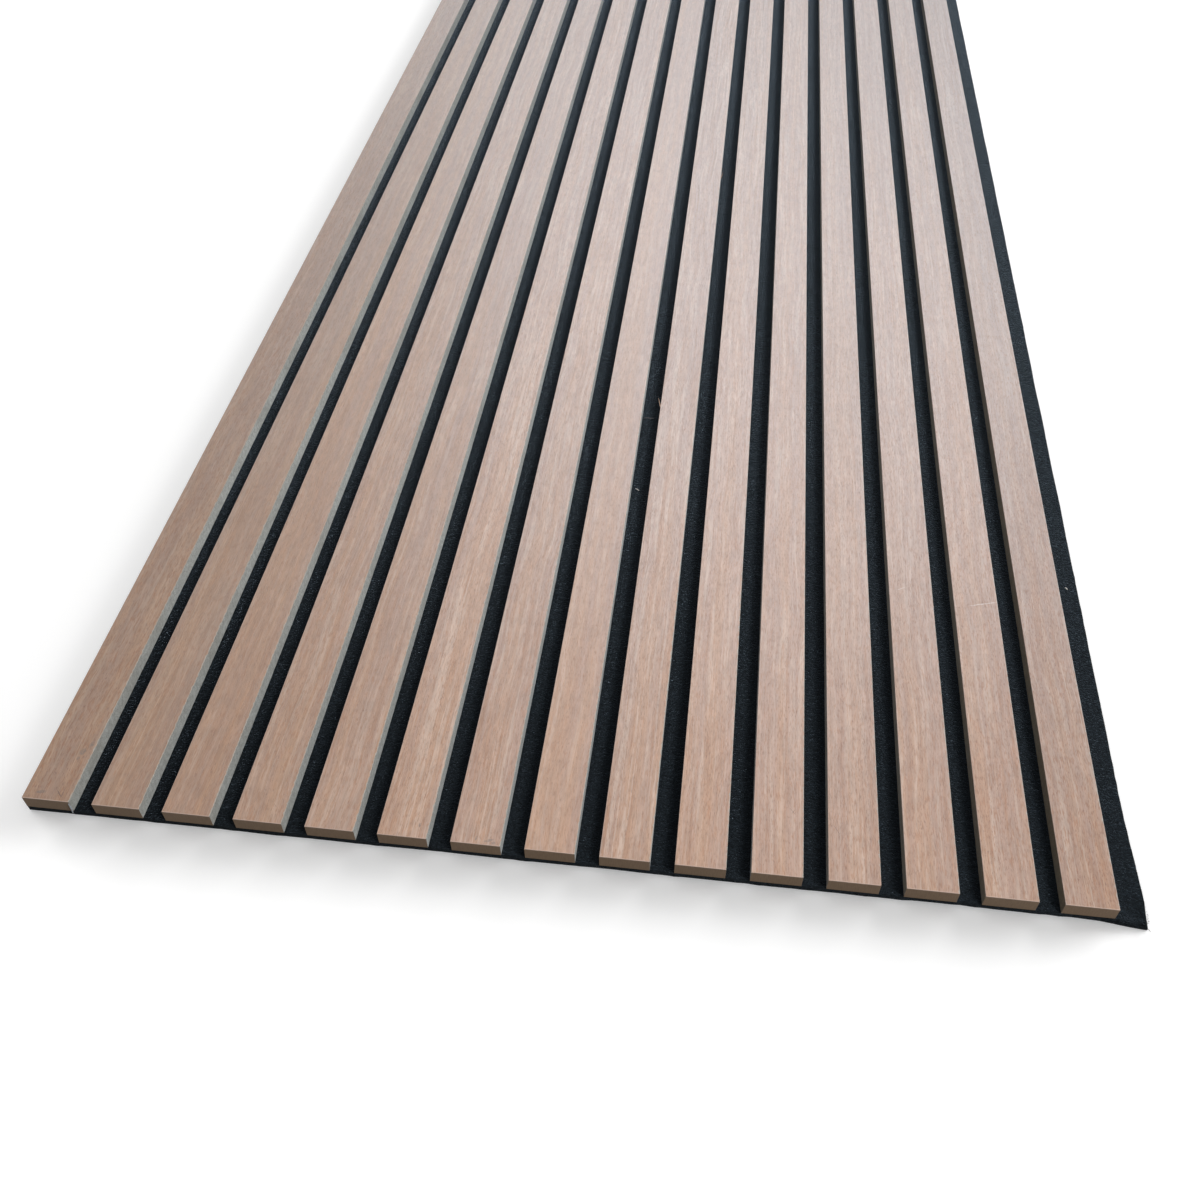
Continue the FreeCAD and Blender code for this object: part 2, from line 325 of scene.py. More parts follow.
# How much each slat's veneer is flecked and how much it is streaked, from the left.
SLAT_FLECKS = (1.0, 0.65, 0.55, 0.65, 0.6, 0.65, 0.6, 0.5, 0.6, 0.6, 0.65, 0.7, 0.7, 0.85, 1.0)
SLAT_STREAKS = (0.6, 0.5, 0.5, 0.7, 0.7, 0.95, 0.9, 0.45, 1.0, 0.85, 0.8, 0.65, 0.75, 0.75, 0.9)

# Wear on the veneer, as slat number, millimetres in from its left side and from the front end, half width,
# half length and turn in degrees.
SCUFFS = (
    (1, 9.3, 4.8, 2.8, 1.1, 12),
    (1, 21.3, 33.0, 1.8, 2.6, -20),
    (1, 24.3, 38.4, 1.4, 2.4, -20),
    (1, 20.4, 28.6, 0.9, 1.4, 0),
    (6, 21.8, 8.0, 0.7, 1.4, 0),
    (7, 13.5, 3.5, 0.5, 1.6, -8),
    (7, 20.5, 2.8, 2.6, 0.8, 20),
    (7, 23.2, 1.6, 1.2, 0.9, 0),
)
DARK_SCRATCHES = (
    (1, 19.8, 4.6, 0.34, 2.8, 44),
    (1, 21.7, 4.3, 0.26, 2.0, 0),
    (11, 21.0, 39.8, 0.14, 2.6, 38),
    (11, 21.4, 39.6, 0.12, 1.8, -30),
    (12, 4.5, 31.0, 0.14, 3.4, 30),
)
PALE_SCRATCHES = (
    (14, 18.0, 206.4, 0.42, 9.5, -74),
    (13, 7.5, 214.0, 0.2, 3.0, -60),
)

# Paler streaks of the grain that stand out, given the same way.
PALE_GRAIN = (
    (7, 1.3, 320.0, 0.5, 62.0, 0.3),
    (7, 13.4, 274.0, 1.1, 75.0, 2.9),
    (11, 9.6, 38.0, 1.0, 46.0, 1.8),
    (12, 12.0, 27.0, 1.2, 13.0, 0.0),
    (12, 18.0, 8.0, 1.0, 17.0, 2.0),
    (14, 7.3, 33.0, 1.0, 44.0, -1.8),
    (14, 20.0, 20.0, 1.0, 25.0, 1.4),
    (15, 4.4, 34.0, 0.9, 34.0, 1.5),
)


def all_marks(finish, marks, softness):
    """1 inside the spots of one kind and 0 outside them, with a soft rim."""
    nearest = DEEP
    for slat, inside, ahead, half_across, half_along, turn in marks:
        x = SLAT_LEFTS[slat - 1] / MM + inside
        y = FRONT / MM + ahead
        nearest = finish.math("MINIMUM", nearest, finish.mark(x, y, half_across, half_along, turn))
    return finish.ramp(nearest, math.sqrt(1 - softness), math.sqrt(1 + softness), 1.0, 0.0)


def oak_veneer():
    """Straight-grained pinkish oak: pale streaks, tan flecks, short dark pores, a tone for each slat with
    painted shade on the outer ones, and a painted highlight along the cut edges.
    """
    finish = Finish("oak_veneer")
    number = finish.math("FLOOR", finish.slats_across())
    inside = finish.inside_slat()
    seed = finish.times(number, 7.31)
    sway = finish.noise(finish.vector(finish.times(finish.along, 0.011), seed, 4.0), detail=1.0)
    finish.grain = finish.add(finish.across, finish.times(finish.add(sway, -0.5), 7.0))

    # The figure of the wood, each kind of mark with its own scale across and along the grain.
    bands = finish.layer(0.13, 0.0022, seed)
    streaks = finish.layer(0.40, 0.011, finish.add(seed, 2.1), distortion=0.25)
    threads = finish.layer(1.1, 0.016, finish.add(seed, 9.4))
    fibres = finish.layer(2.4, 0.07, finish.add(seed, 3.7), roughness=0.6)
    mottle = finish.layer(0.30, 0.085, finish.add(seed, 1.3), detail=3.0, distortion=0.6)
    flecks = finish.layer(1.4, 0.17, finish.add(seed, 6.6))
    pores = finish.layer(3.4, 0.32, finish.add(seed, 5.9))
    lines = finish.layer(0.20, 0.0032, finish.add(seed, 8.3), detail=1.0)
    line_stretches = finish.layer(0.045, 0.0022, finish.add(seed, 4.4), detail=1.0)
    tone = finish.noise(finish.vector(seed, finish.times(finish.along, 0.0011), 2.0), scale=1.7, detail=1.0)

    peach = linear(181, 142, 115)
    pink = linear(181, 145, 125)
    pale = linear(200, 171, 152)
    tan = linear(168, 123, 92)
    orange = linear(163, 110, 72)
    pore = linear(110, 68, 42)
    rubbed = linear(168, 165, 156)
    smudge = linear(92, 84, 78)
    dark_scratch = linear(88, 64, 52)
    pale_scratch = linear(232, 222, 214)

    colour = finish.mix(finish.ramp(bands, 0.36, 0.64), pink, peach)
    flecked = finish.steps(number, SLAT_FLECKS)
    streaked = finish.steps(number, SLAT_STREAKS)
    colour = finish.mix(finish.times(streaked, finish.ramp(streaks, 0.53, 0.68, 0.0, 0.85)), colour, pale)
    colour = finish.mix(finish.times(streaked, finish.ramp(streaks, 0.47, 0.32, 0.0, 0.85)), colour, tan)
    colour = finish.mix(finish.times(streaked, finish.ramp(threads, 0.55, 0.68, 0.0, 0.5)), colour, pale)
    line_places = finish.times(finish.ridge(lines, 0.045, 0.010), finish.ramp(line_stretches, 0.47, 0.57))
    colour = finish.mix(finish.times(line_places, finish.times(streaked, 0.8)), colour, pale)
    pale_grain = finish.times(all_marks(finish, PALE_GRAIN, 0.9), finish.ramp(threads, 0.3, 0.6, 0.3, 1.0))
    colour = finish.mix(finish.times(pale_grain, 0.85), colour, pale)
    colour = finish.mix(finish.times(flecked, finish.ramp(flecks, 0.53, 0.65, 0.0, 0.8)), colour, orange)

    # How dark the wood is, with the left slats a little warmer and painted shade on the outer slats, and then
    # its pores and a painted highlight along its cut edges.
    shade = finish.ramp(fibres, 0.3, 0.7, 0.91, 1.06)
    shade = finish.times(shade, finish.ramp(mottle, 0.32, 0.68, 0.91, 1.07))
    shade = finish.times(shade, finish.ramp(bands, 0.34, 0.66, 0.95, 1.04))
    shade = finish.times(shade, finish.ramp(tone, 0.3, 0.7, 0.96, 1.04))
    # Each slat's tone, with painted shade on the outer slats.
    shade = finish.times(shade, finish.steps(number, SLAT_TONES_AND_SHADE))
    warmth = finish.ramp(number, -1.0, 6.0, 1.0, 0.0)
    green = finish.times(shade, finish.add(1.0, finish.times(warmth, -0.03)))
    blue = finish.times(shade, finish.add(1.0, finish.times(warmth, -0.12)))
    colour = finish.mix(1.0, colour, finish.vector(shade, green, blue), "MULTIPLY")
    pore_places = finish.times(finish.ramp(pores, 0.57, 0.65), finish.ramp(streaks, 0.66, 0.44, 0.3, 1.0))
    colour = finish.mix(finish.times(pore_places, finish.times(flecked, 0.8)), colour, pore)
    from_right = finish.math("SUBTRACT", SLAT_WIDTH / MM, inside)
    from_side = finish.math("MINIMUM", inside, from_right)
    from_front = finish.add(finish.along, -FIRST_LOW.y / MM)
    from_edge = finish.math("MINIMUM", from_side, from_front)
    # Painted highlight: the veneer is made paler along its cut sides and front end, standing in for the light
    # that the sharp edges catch.
    colour = finish.mix(finish.ramp(from_edge, 0.5, 0.15, 0.0, 0.65), colour, pale)
    wobble = finish.noise(finish.vector(seed, finish.times(finish.along, 0.35), 1.0), detail=3.0)
    worn = finish.ramp(finish.add(from_right, finish.times(wobble, -2.4)), -0.75, -1.0)
    colour = finish.mix(finish.times(worn, 0.8), colour, rubbed)

    # Wear.
    smudge_texture = finish.noise(finish.place, scale=0.9, detail=3.0)
    scuffs = finish.times(all_marks(finish, SCUFFS, 0.7), finish.ramp(smudge_texture, 0.34, 0.60, 0.45, 1.0))
    colour = finish.mix(finish.times(scuffs, 0.6), colour, smudge)
    dark_scratches = all_marks(finish, DARK_SCRATCHES, 0.5)
    colour = finish.mix(finish.times(dark_scratches, 0.7), colour, dark_scratch)
    broken = finish.noise(finish.place, scale=0.7, detail=2.0)
    pale_scratches = finish.times(all_marks(finish, PALE_SCRATCHES, 0.5), finish.ramp(broken, 0.3, 0.55))
    colour = finish.mix(finish.times(pale_scratches, 0.5), colour, pale_scratch)

    finish.coat(colour, finish.ramp(fibres, 0.2, 0.8, 0.43, 0.33))
    relief = finish.add(finish.times(fibres, 0.6), finish.ramp(pores, 0.57, 0.65, 0.0, -0.8))
    finish.bump(relief, 0.06, 0.7)
    finish.surface.inputs["Specular IOR Level"].default_value = 1.0
    finish.haze(0.35, 0.45, linear(225, 235, 245))
    return finish.material


def raw_fibreboard():
    """Sawn MDF: brown, with matted fibres, faint saw lines, dark specks and browner sawn ends; its right
    sides are painted pale grey as if lit, and paler away from the front end as a painted sheen.
    """
    finish = Finish("raw_fibreboard")
    clumps = finish.noise(finish.place, scale=0.35, detail=3.0, roughness=0.6)
    specks = finish.noise(finish.place, scale=1.5, detail=3.0, roughness=0.7)
    saw_lines = finish.noise(finish.scaled(1.0, 1.0, 0.12), scale=1.9, detail=1.0)
    patches = finish.noise(finish.place, scale=0.03, detail=2.0)
    board = finish.mix(finish.ramp(clumps, 0.3, 0.7), linear(112, 95, 72), linear(130, 111, 86))
    # Painted light: the right sides are painted pale grey, as if lit from the right, while the left sides and
    # ends stay brown; the grey is painted paler away from the front end, a painted sheen.
    painted_lit_side = finish.ramp(finish.inside_slat(), SLAT_WIDTH / MM - 0.25, SLAT_WIDTH / MM - 0.05)
    grey = finish.mix(finish.ramp(clumps, 0.3, 0.7), linear(172, 174, 171), linear(198, 200, 197))
    paler = finish.ramp(finish.add(finish.along, -FRONT / MM), 20.0, 330.0, 1.0, 1.5)
    board = finish.mix(painted_lit_side, board, finish.shaded(grey, paler))
    board = finish.mix(finish.ramp(specks, 0.52, 0.66, 0.0, 0.75), board, linear(104, 94, 80))
    board = finish.mix(finish.ramp(specks, 0.44, 0.28, 0.0, 0.3), board, linear(200, 196, 184))
    board = finish.mix(finish.ramp(patches, 0.4, 0.7, 0.0, 0.25), board, linear(146, 138, 124))
    from_front = finish.add(finish.along, -FIRST_LOW.y / MM)
    from_back = finish.math("SUBTRACT", FIRST_HIGH.y / MM, finish.along)
    end_face = finish.ramp(finish.math("MINIMUM", from_front, from_back), 0.25, 0.05)
    board = finish.mix(finish.times(end_face, 0.85), board, linear(138, 116, 96))
    finish.coat(finish.shaded(board, finish.ramp(saw_lines, 0.3, 0.7, 0.93, 1.05)), 0.7)
    finish.surface.inputs["Specular IOR Level"].default_value = 0.12
    finish.haze(0.3, 0.3, linear(205, 218, 230))
    relief = finish.add(finish.times(specks, 0.5), finish.times(saw_lines, 0.5))
    finish.bump(relief, 0.15, 0.8)
    return finish.material


def pressed_felt(name, sheen):
    """Needled polyester felt: black-navy, mottled with small waves, with paler fibres lying every way, and
    painted shade towards its left side and along its front cut edge.
    """
    finish = Finish(name)
    clouds = finish.noise(finish.place, scale=0.09, detail=3.0)
    matting = finish.noise(finish.place, scale=0.75, detail=3.0, roughness=0.6, distortion=1.2)
    waves = finish.noise(finish.scaled(0.45, 1.1), distortion=1.5)
    first_lie = finish.noise(finish.scaled(0.4, 1.7), distortion=2.2)
    second_lie = finish.noise(finish.scaled(1.8, 0.4), distortion=2.2)
    hairs = finish.math(
        "MAXIMUM", finish.ridge(first_lie, 0.035, 0.008), finish.ridge(second_lie, 0.035, 0.008)
    )
    colour = finish.mix(finish.ramp(matting, 0.40, 0.62), linear(3, 4, 4), linear(22, 26, 29))
    colour = finish.mix(finish.ramp(waves, 0.52, 0.62, 0.0, 0.7), colour, linear(36, 43, 49))
    colour = finish.mix(finish.ramp(clouds, 0.35, 0.65, 0.0, 0.3), colour, linear(12, 14, 16))
    colour = finish.mix(finish.times(hairs, 0.4), colour, linear(40, 47, 54))
    # Painted shade: the felt is darkened towards its left side, where the light falls off.
    painted_left_shade = finish.ramp(finish.across, FELT_LOW.x / MM, 0.0, 0.35, 1.0)
    # Painted shade: the felt is darkened along its front cut edge, which is in shade.
    painted_rim_shade = finish.ramp(finish.add(finish.along, -FRONT / MM), -0.6, 0.5, 0.3, 1.0)
    finish.coat(finish.shaded(colour, finish.times(painted_left_shade, painted_rim_shade)), 0.9)
    finish.surface.inputs["Specular IOR Level"].default_value = 0.05
    finish.haze(sheen, 0.33, linear(186, 206, 226))
    relief = finish.add(finish.times(matting, 0.6), finish.times(waves, 0.5))
    finish.bump(relief, 0.8, 1.0)
    return finish.material


def zinc_wire():
    """Zinc-plated flat wire, drawn lengthwise, with a little grey bloom."""
    finish = Finish("zinc_wire")
    drawn = finish.noise(finish.scaled(0.3, 7.0, 0.3))
    bloom = finish.noise(finish.place, scale=0.8, detail=3.0)
    colour = finish.mix(finish.ramp(bloom, 0.35, 0.7), linear(196, 197, 198), linear(150, 151, 152))
    finish.coat(colour, finish.ramp(bloom, 0.3, 0.7, 0.28, 0.5))
    finish.surface.inputs["Metallic"].default_value = 1.0
    finish.bump(drawn, 0.02, 0.5)
    return finish.material


def plain_thread(name, colour, roughness):
    """A finish for the few stray bits: lint, glue and torn fibres, with a slightly uneven tone."""
    finish = Finish(name)
    uneven = finish.noise(finish.place, scale=1.6)
    finish.coat(finish.shaded(colour, finish.ramp(uneven, 0.3, 0.7, 0.82, 1.08)), roughness)
    return finish.material


def finished_object(name, mesh_data, material):
    """An object for a finished mesh, at the origin, riding on the panel."""
    piece = bpy.data.objects.new(name, mesh_data)
    bpy.context.collection.objects.link(piece)
    piece.data.materials.append(material)
    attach(piece, "root")
    return piece


def mesh_from(bm, name):
    """Writes a bmesh to a new mesh, and frees it."""
    data = bpy.data.meshes.new(name)
    bm.to_mesh(data)
    bm.free()
    return data


def graded_rows(length):
    """Places along the felt: close together at the front end, where the cut edge shows, and wider behind."""
    rows = [0.0]
    for end, step in (*FELT_ROW_STEPS, (length, FELT_LAST_STEP)):
        count = max(1, round((end - rows[-1]) / step))
        start = rows[-1]
        rows += [start + (end - start) * index / count for index in range(1, count + 1)]
    return rows


def staple_row_places():
    """Where each row of staples crosses the panel, along the slats."""
    first = STAPLES_LOW.y + WIRE_WIDTH / 2
    run = STAPLES_HIGH.y - STAPLES_LOW.y - WIRE_WIDTH
    return [first + run * row / (STAPLE_ROWS - 1) for row in range(STAPLE_ROWS)]


def felt_columns():
    """Lines along the felt: each slat's sides, the pits of its staples, and the middle of each gap."""
    places = [FELT_LOW.x, FELT_HIGH.x]
    pit_inner = CROWN_HALF_WIDTH + PIT_FLOOR
    pit_outer = CROWN_HALF_WIDTH + PIT_RIM
    for left in SLAT_LEFTS:
        middle = left + SLAT_WIDTH / 2
        places += [left, left + SLAT_WIDTH]
        places += [middle - pit_outer, middle - pit_inner, middle + pit_inner, middle + pit_outer]
        places += [left + SLAT_WIDTH + GAP * share for share in (0.2, 0.5, 0.8)]
    places += [FELT_HIGH.x - inset for inset in FELT_EDGE_COLUMNS]
    return sorted({round(place, 7) for place in places})


def felt_rows():
    """Lines across the felt: the graded rows and both sides of each staple's pit."""
    places = [FRONT + row for row in graded_rows(FELT_HIGH.y - FRONT)]
    for row in staple_row_places():
        places += [row - PIT_RIM, row - PIT_FLOOR, row + PIT_FLOOR, row + PIT_RIM]
    return sorted({round(place, 7) for place in places})


def soft_step(value, low, high):
    """0 below low, 1 above high, and smooth between."""
    share = min(1.0, max(0.0, (value - low) / (high - low)))
    return share * share * (3 - 2 * share)


def edge_wave(place, seed, amount):
    """How far the knife wandered at a place along a cut edge."""
    slow = noise.noise(Vector((place * 22, seed, 0.0)))
    quick = noise.noise(Vector((place * 160, seed, 3.0)))
    return amount * (slow + 0.6 * quick)


def cut_edge_shift(x, y):
    """How far a point of the felt's outline lies from the straight cut, as x and y."""
    shift_x = 0.0
    shift_y = 0.0
    if x > FELT_HIGH.x - ON_EDGE:
        flare = CORNER_FLARE * (1 - soft_step(y, FRONT, FRONT + CORNER_FLARE_LENGTH))
        shift_x = edge_wave(y, 1.0, RIGHT_EDGE_WAVE) + flare
    if x < FELT_LOW.x + ON_EDGE:
        shift_x = edge_wave(y, 2.0, LEFT_EDGE_WAVE) - LEFT_EDGE_WAVE
    if y < FRONT + ON_EDGE:
        corner = soft_step(x, FELT_HIGH.x - CORNER_PULL_START, FELT_HIGH.x + CORNER_PULL_END)
        shift_y = FRONT_EDGE_INSET + edge_wave(x, 5.0, FRONT_EDGE_WAVE) - corner * CORNER_PULL
    if y > FELT_HIGH.y - ON_EDGE:
        shift_y = edge_wave(x, 7.0, BACK_EDGE_WAVE)
    return shift_x, shift_y


def pit_depth(x, y, rows):
    """1 on the floor of a staple's pit in the felt's back, and 0 away from it."""
    slat = round((x - SLAT_LEFTS[0] - SLAT_WIDTH / 2) / PITCH)
    if not 0 <= slat < len(SLAT_LEFTS):
        return 0.0
    from_x = abs(x - SLAT_LEFTS[slat] - SLAT_WIDTH / 2) - CROWN_HALF_WIDTH
    from_y = min(abs(y - row) for row in rows)
    return 1.0 if max(from_x, from_y) < PIT_FLOOR + 0.01 * MM else 0.0


def gap_sag(x, y):
    """How far the felt's top sinks between two slats, where only its own stiffness holds it."""
    inside = (x - SLAT_LEFTS[0]) % PITCH
    if inside < SLAT_WIDTH + 0.01 * MM or x > SLAT_LEFTS[-1] + SLAT_WIDTH + 0.5 * PITCH:
        return 0.0
    share = (inside - SLAT_WIDTH) / GAP
    dip = math.sin(math.pi * min(1.0, share))
    return dip * (GAP_SAG + GAP_SAG_WAVE * noise.noise(Vector((x * 40, y * 14, 0.0)))) * MM


def corner_crush(x, y):
    """How far the felt's top is pressed down towards its loose front corner."""
    from_corner = math.hypot(FELT_HIGH.x - x, y - FRONT)
    return CORNER_CRUSH * (1 - soft_step(from_corner, 0.0, CORNER_CRUSH_REACH))


def make_felt():
    """The felt sheet: wandering knife-cut edges, a soft top in the gaps, and a pit at each staple."""
    columns = felt_columns()
    rows = felt_rows()
    staple_rows = staple_row_places()
    bm = bmesh.new()
    bmesh.ops.create_grid(bm, x_segments=len(columns) - 1, y_segments=len(rows) - 1, size=0.5)
    for vertex in bm.verts:
        column = round((vertex.co.x + 0.5) * (len(columns) - 1))
        row = round((vertex.co.y + 0.5) * (len(rows) - 1))
        vertex.co = Vector((columns[column], rows[row], FELT_LOW.z))
    lifted = bmesh.ops.extrude_face_region(bm, geom=bm.faces[:], use_keep_orig=True)
    top = [item for item in lifted["geom"] if isinstance(item, bmesh.types.BMVert)]
    bmesh.ops.translate(bm, verts=top, vec=(0, 0, FELT_HIGH.z - FELT_LOW.z))
    top = set(top)
    pit = CROWN_TOP - FELT_LOW.z + PIT_CLEARANCE
    for vertex in bm.verts:
        x, y = vertex.co.xy
        if vertex in top:
            vertex.co.z -= gap_sag(x, y) + corner_crush(x, y)
        else:
            vertex.co.z += pit * pit_depth(x, y, staple_rows)
        shift_x, shift_y = cut_edge_shift(x, y)
        vertex.co.x += shift_x
        vertex.co.y += shift_y
    bmesh.ops.recalc_face_normals(bm, faces=bm.faces[:])
    # The cut sides get a copy of the felt with little sheen, so that they show dark: a shaded copy standing
    # in for their shade.
    for face in bm.faces:
        face.material_index = 1 if abs(face.normal.z) < 0.5 else 0
    felt = finished_object("felt_sheet", mesh_from(bm, "felt_sheet"), FELT_FINISH)
    felt.data.materials.append(SHADED_CUT_FELT_FINISH)
    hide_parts("felt_backing")
    return felt


def round_line(name, thickness, rings, capped):
    """An empty curve with a round section."""
    line = bpy.data.curves.new(name, "CURVE")
    line.dimensions = "3D"
    line.bevel_depth = thickness / 2
    line.bevel_resolution = rings
    line.use_fill_caps = capped
    return line


def add_run(line, kind, points):
    """Adds one run through a few points to a curve."""
    run = line.splines.new(kind)
    run.points.add(len(points) - 1)
    for target, point in zip(run.points, points):
        target.co = (*point, 1.0)
    return run


def object_from_line(name, line, material):
    """Makes a curve a mesh object, and removes the curve."""
    holder = bpy.data.objects.new(name + "_line", line)
    data = bpy.data.meshes.new_from_object(holder)
    data.name = name
    bpy.data.objects.remove(holder)
    bpy.data.curves.remove(line)
    data.materials.clear()
    return finished_object(name, data, material)


def hairs_object(name, hairs, thickness, material):
    """Many short bent hairs as one mesh. Each hair is three points."""
    line = round_line(name, thickness, 0, False)
    for points in hairs:
        add_run(line, "POLY", points).points[-1].radius = 0.35
    return object_from_line(name, line, material)


def hair(dice, root, outward, length, lift):
    """A hair from its root: it leaves outwards, then bends over."""
    aside = Vector((dice.uniform(-1, 1), dice.uniform(-1, 1), 0))
    middle = root + (outward * 0.6 + aside * 0.35) * length + Vector((0, 0, lift * 0.6))
    tip = root + (outward * dice.uniform(0.4, 0.9) + aside * 0.8) * length + Vector((0, 0, lift))
    return [root, middle, tip]


def make_edge_fuzz():
    """Loose fibres along the knife-cut edges of the felt."""
    dice = random.Random(SEED)
    hairs = []
    height = FELT_HIGH.z - FELT_LOW.z
    right = Vector((1, 0, 0))
    ahead = Vector((0, -1, 0))
    for _ in range(RIGHT_EDGE_HAIRS):
        share = dice.random() ** 1.6
        y = FRONT + share * (FELT_HIGH.y - FRONT)
        z = FELT_LOW.z + height * dice.uniform(0.12, 1.0)
        x = FELT_HIGH.x + cut_edge_shift(FELT_HIGH.x, y)[0] - 0.15 * MM
        length = dice.uniform(0.3, 1.1) * MM
        lift = dice.uniform(-0.1, 0.3) * MM
        hairs.append(hair(dice, Vector((x, y, z)), right, length, lift))
    for _ in range(FRONT_EDGE_HAIRS):
        x = dice.uniform(FELT_LOW.x, FELT_HIGH.x - 0.022)
        z = FELT_LOW.z + height * dice.uniform(0.12, 0.98)
        y = FRONT + cut_edge_shift(x, FRONT)[1] + 0.15 * MM
        length = dice.uniform(0.2, 0.6) * MM
        lift = dice.uniform(-0.1, 0.1) * MM
        hairs.append(hair(dice, Vector((x, y, z)), ahead, length, lift))
    return hairs_object("felt_edge_fuzz", hairs, EDGE_HAIR_THICKNESS, FUZZ_FINISH)


def make_surface_fuzz():
    """Loose fibres that lie on the felt between the slats and on its bare edge."""
    dice = random.Random(SEED + 1)
    hairs = []
    for _ in range(TOP_HAIRS):
        slat = dice.randrange(len(SLAT_LEFTS))
        left = SLAT_LEFTS[slat] + SLAT_WIDTH
        x = left + dice.uniform(0.04, 0.96) * GAP
        y = FRONT + dice.random() ** 1.7 * (FELT_HIGH.y - FRONT)
        root = Vector((x, y, FELT_HIGH.z - gap_sag(x, y) - 0.02 * MM))
        heading = dice.uniform(0, 2 * math.pi)
        along = Vector((math.cos(heading), math.sin(heading), 0))
        reach = min(dice.uniform(0.8, 2.2) * MM, x - left, left + GAP - x)
        middle = root + along * reach * 0.5 + Vector((0, 0, dice.uniform(0.08, 0.28) * MM))
        side = Vector((-along.y, along.x, 0)) * dice.uniform(-0.4, 0.4) * reach
        tip = root + along * reach * 0.9 + side + Vector((0, 0, dice.uniform(0.0, 0.2) * MM))
        hairs.append([root, middle, tip])
    return hairs_object("felt_surface_fuzz", hairs, TOP_HAIR_THICKNESS, FUZZ_FINISH)


def on_felt(points):
    """The places of points given as slat number, millimetres in and ahead, and millimetres over the felt."""
    return [
        Vector((SLAT_LEFTS[slat - 1] + inside * MM, FRONT + ahead * MM, FELT_HIGH.z + up * MM))
        for slat, inside, ahead, up in points
    ]


def sliver(name, ends, width):
    """A torn sliver of veneer: a thin flat wedge from its broad root to its point."""
    root, tip = on_felt(ends)
    way = tip - root
    bm = bmesh.new()
    bmesh.ops.create_cone(
        bm, segments=6, radius1=0.5, radius2=0.08, depth=1.0, cap_ends=True, cap_tris=False
    )
    bmesh.ops.translate(bm, verts=bm.verts[:], vec=(0, 0, 0.5))
    long_edges = [edge for edge in bm.edges if abs(edge.verts[0].co.z - edge.verts[1].co.z) > 0.5]
    bmesh.ops.subdivide_edges(bm, edges=long_edges, cuts=3)
    for vertex in bm.verts:
        vertex.co.x += 0.25 * vertex.co.z ** 2
    bmesh.ops.scale(bm, verts=bm.verts[:], vec=(width, SPLINTER_THICKNESS, way.length))
    turn = way.to_track_quat("Z", "Y").to_matrix().to_4x4()
    bmesh.ops.transform(bm, matrix=Matrix.Translation(root) @ turn, verts=bm.verts[:])
    bmesh.ops.recalc_face_normals(bm, faces=bm.faces[:])
    return finished_object(name, mesh_from(bm, name), SPLINTER_FINISH)


def make_splinters():
    """Two slivers of veneer that the saw left standing off the ninth slat's sides."""
    sliver("splinter_left", SPLINTER_LEFT, 1.1 * MM)
    sliver("splinter_right", SPLINTER_RIGHT, 1.0 * MM)


def thread(name, points, thickness, material):
    """A short soft thread through a few points."""
    line = round_line(name, thickness, 2, True)
    run = add_run(line, "NURBS", points)
    run.order_u = 3
    run.use_endpoint_u = True
    run.resolution_u = 6
    run.points[0].radius = 0.6
    run.points[-1].radius = 0.5
    return object_from_line(name, line, material)


def make_lint():
    """Three bits of pale lint on the felt, a loose fibre at its corner, and a string of glue on slat 1."""
    thread("lint_long", on_felt(LINT_LONG), 0.35 * MM, FAINT_LINT_FINISH)
    thread("lint_short", on_felt(LINT_SHORT), 0.7 * MM, LINT_FINISH)
    thread("lint_dot", on_felt(LINT_DOT), 1.0 * MM, LINT_FINISH)
    tip = Vector((FELT_HIGH.x + CORNER_FLARE, FRONT - 2.2 * MM, FELT_LOW.z + 1.0 * MM))
    loose_end = [tip, tip + Vector((0.8, -0.9, 0.2)) * MM, tip + Vector((1.2, -1.6, -0.1)) * MM]
    thread("corner_fibre", loose_end, 0.35 * MM, FAINT_LINT_FINISH)
    thread("glue_string", on_felt(GLUE_STRING), 0.9 * MM, GLUE_FINISH)


def dress_solids():
    """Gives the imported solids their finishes."""
    for name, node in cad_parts.items():
        if name.startswith("slat_core"):
            material = BOARD_FINISH
        elif name.startswith("slat_veneer"):
            material = VENEER_FINISH
        elif name == "back_staples":
            material = WIRE_FINISH
        else:
            continue
        for slot in node.material_slots:
            slot.material = material


def seen_directly(tree):
    """1 for what the camera sees itself, in a mirror or through glass, and 0 for light that bounces about."""
    paths = tree.nodes.new("ShaderNodeLightPath")
    seen = paths.outputs["Is Camera Ray"]
    for way in ("Is Glossy Ray", "Is Transmission Ray"):
        either = tree.nodes.new("ShaderNodeMath")
        either.operation = "MAXIMUM"
        tree.links.new(seen, either.inputs[0])
        tree.links.new(paths.outputs[way], either.inputs[1])
        seen = either.outputs[0]
    return seen


def choose_by_ray(tree, bounced, seen, socket):
    """Gives one shader to light that bounces about, and another to what is seen directly."""
    choice = tree.nodes.new("ShaderNodeMixShader")
    tree.links.new(seen_directly(tree), choice.inputs[0])
    tree.links.new(bounced, choice.inputs[1])
    tree.links.new(seen, choice.inputs[2])
    tree.links.new(choice.outputs[0], socket)


def matt(tree, level):
    """A plain matt shader of one grey level."""
    node = tree.nodes.new("ShaderNodeBsdfDiffuse")
    node.inputs["Color"].default_value = (level, level, level, 1)
    return node.outputs[0]


